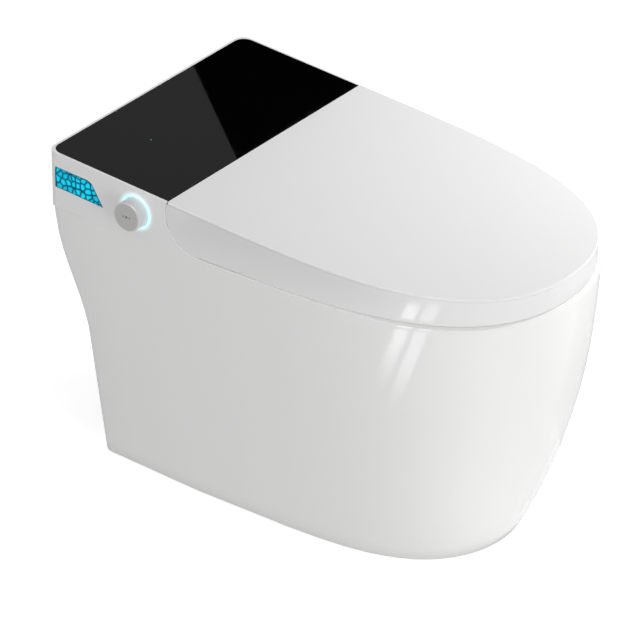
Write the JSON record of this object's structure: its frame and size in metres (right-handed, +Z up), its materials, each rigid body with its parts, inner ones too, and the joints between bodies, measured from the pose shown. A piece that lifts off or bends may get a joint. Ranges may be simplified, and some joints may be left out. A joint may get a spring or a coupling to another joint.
{
  "type": "smart bidet toilet",
  "caption": "Skirted floor-standing toilet with soft-close lid and seat, glass-topped rear housing, side knob, retracting washing nozzle and warm-air dryer.",
  "frame": {"origin": "middle of the floor outlet, on the floor", "axes": "+Z up, +Y towards the back (the wall), the nose points to -Y, the knob is on the -X side"},
  "size_m": [0.429, 0.686, 0.472],
  "materials": {
    "glaze": "gloss",
    "gasket": "matte",
    "housing_gloss": "gloss",
    "black_glass": "gloss",
    "tray_plastic": "matte",
    "inner_white": "satin",
    "damper_body": "satin",
    "lens": "gloss",
    "circuit_board": "satin",
    "halo": "satin",
    "dark_plastic": "satin",
    "heater_metal": "satin",
    "brass_fitting": "satin",
    "hose_rubber": "satin",
    "steel": "satin",
    "lid_gloss": "gloss",
    "soft_rubber": "matte",
    "seat_gloss": "gloss",
    "knob_satin": "satin",
    "nozzle_metal": "satin"
  },
  "bodies": {
    "base": {"ceramic_deck": "glaze", "ceramic_skirt": "glaze", "ceramic_bowl": "glaze", "outlet_gasket": "gasket", "rear_housing": "housing_gloss", "glass_top": "black_glass", "chassis_tray": "tray_plastic", "hinge_bridge": "inner_white", "lid_damper": "damper_body", "seat_damper": "damper_body", "light_lens": "lens", "light_board": "circuit_board", "knob_light_ring": "halo", "encoder_body": "dark_plastic", "nozzle_guide": "inner_white", "nozzle_motor": "dark_plastic", "instant_heater": "heater_metal", "inlet_valve": "dark_plastic", "inlet_fitting": "brass_fitting", "flush_valve": "dark_plastic", "flush_hose": "hose_rubber", "wash_hose": "hose_rubber", "dryer_housing": "dark_plastic", "dryer_duct": "dark_plastic", "deodoriser": "dark_plastic", "power_board": "circuit_board", "control_board": "circuit_board", "display_board": "circuit_board", "power_gland": "gasket", "housing_screws": "steel"},
    "lid": {"lid_plate": "lid_gloss", "lid_skirt": "lid_gloss", "lid_hinge_arms": "inner_white", "lid_hinge_shaft": "steel", "lid_bumpers": "soft_rubber"},
    "seat": {"seat_ring": "seat_gloss", "seat_base": "inner_white", "seat_hinge_arms": "inner_white", "seat_hinge_shaft": "steel", "seat_bumpers": "soft_rubber"},
    "button": {"encoder_plunger": "steel"},
    "knob": {"side_knob": "knob_satin"},
    "wand": {"nozzle_wand": "inner_white", "nozzle_tip": "nozzle_metal"},
    "shutter": {"nozzle_shutter": "inner_white"},
    "fan": {"dryer_impeller": "inner_white"}
  },
  "joints": [
    {"name": "lid_hinge", "type": "hinge", "parent": "base", "child": "lid", "pos_m": [0, 0.045, 0.44209], "axis": [-1, 0, 0], "range_deg": [0, 105]},
    {"name": "seat_hinge", "type": "hinge", "parent": "base", "child": "seat", "pos_m": [0, 0.045, 0.44209], "axis": [-1, 0, 0], "range_deg": [0, 94.5]},
    {"name": "knob_press", "type": "slide", "parent": "base", "child": "button", "axis": [1, 0, 0], "range_m": [0, 0.002], "stiffness_N_per_m": 900, "springref_m": -0.0015},
    {"name": "knob_turn", "type": "hinge", "parent": "button", "child": "knob", "pos_m": [-0.205, 0.143, 0.428], "axis": [1, 0, 0], "continuous": true},
    {"name": "nozzle_slide", "type": "slide", "parent": "base", "child": "wand", "axis": [0, -0.9272, -0.3746], "range_m": [0, 0.155]},
    {"name": "shutter_hinge", "type": "hinge", "parent": "base", "child": "shutter", "pos_m": [0, -0.0035, 0.382], "axis": [-1, 0, 0], "range_deg": [0, 86]},
    {"name": "fan_spin", "type": "hinge", "parent": "base", "child": "fan", "pos_m": [0.075, 0.172, 0.394], "axis": [0, 0, 1], "continuous": true}
  ],
  "couplings": [
    {"joint": "seat_hinge", "follows": "lid_hinge", "ratio": 0.9},
    {"joint": "shutter_hinge", "follows": "nozzle_slide", "rad_per_m": 9.6838}
  ]
}
